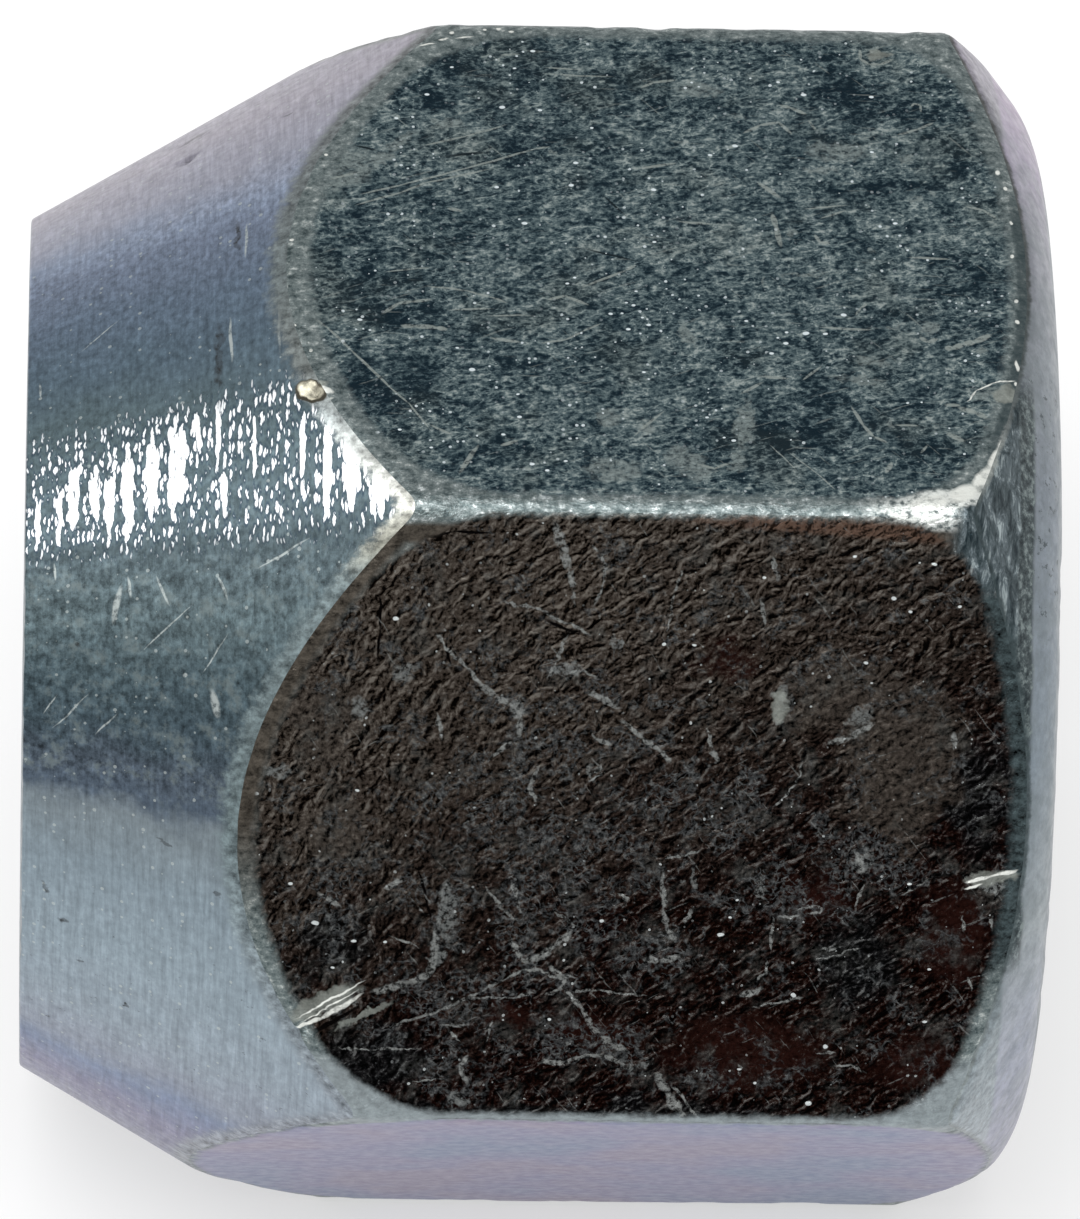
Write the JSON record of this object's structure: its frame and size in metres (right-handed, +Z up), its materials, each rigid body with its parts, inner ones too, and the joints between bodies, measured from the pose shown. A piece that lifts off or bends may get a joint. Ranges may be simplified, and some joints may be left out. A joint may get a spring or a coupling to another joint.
{
  "type": "lug nut",
  "caption": "Open-ended hexagonal wheel nut with a conical seat and a through thread, bright zinc plated.",
  "frame": {"origin": "on the thread axis, half way along the nut", "axes": "+X along the thread axis from the seat end to the outer end, +Z up, square to the flat that the nut lies on"},
  "size_m": [0.0174, 0.0219, 0.019],
  "materials": {
    "zinc_plated_steel": "bright zinc plate with a clear blue passivate, scuffed and finely scratched"
  },
  "bodies": {
    "root": {"lug_nut": "zinc_plated_steel"}
  },
  "joints": []
}
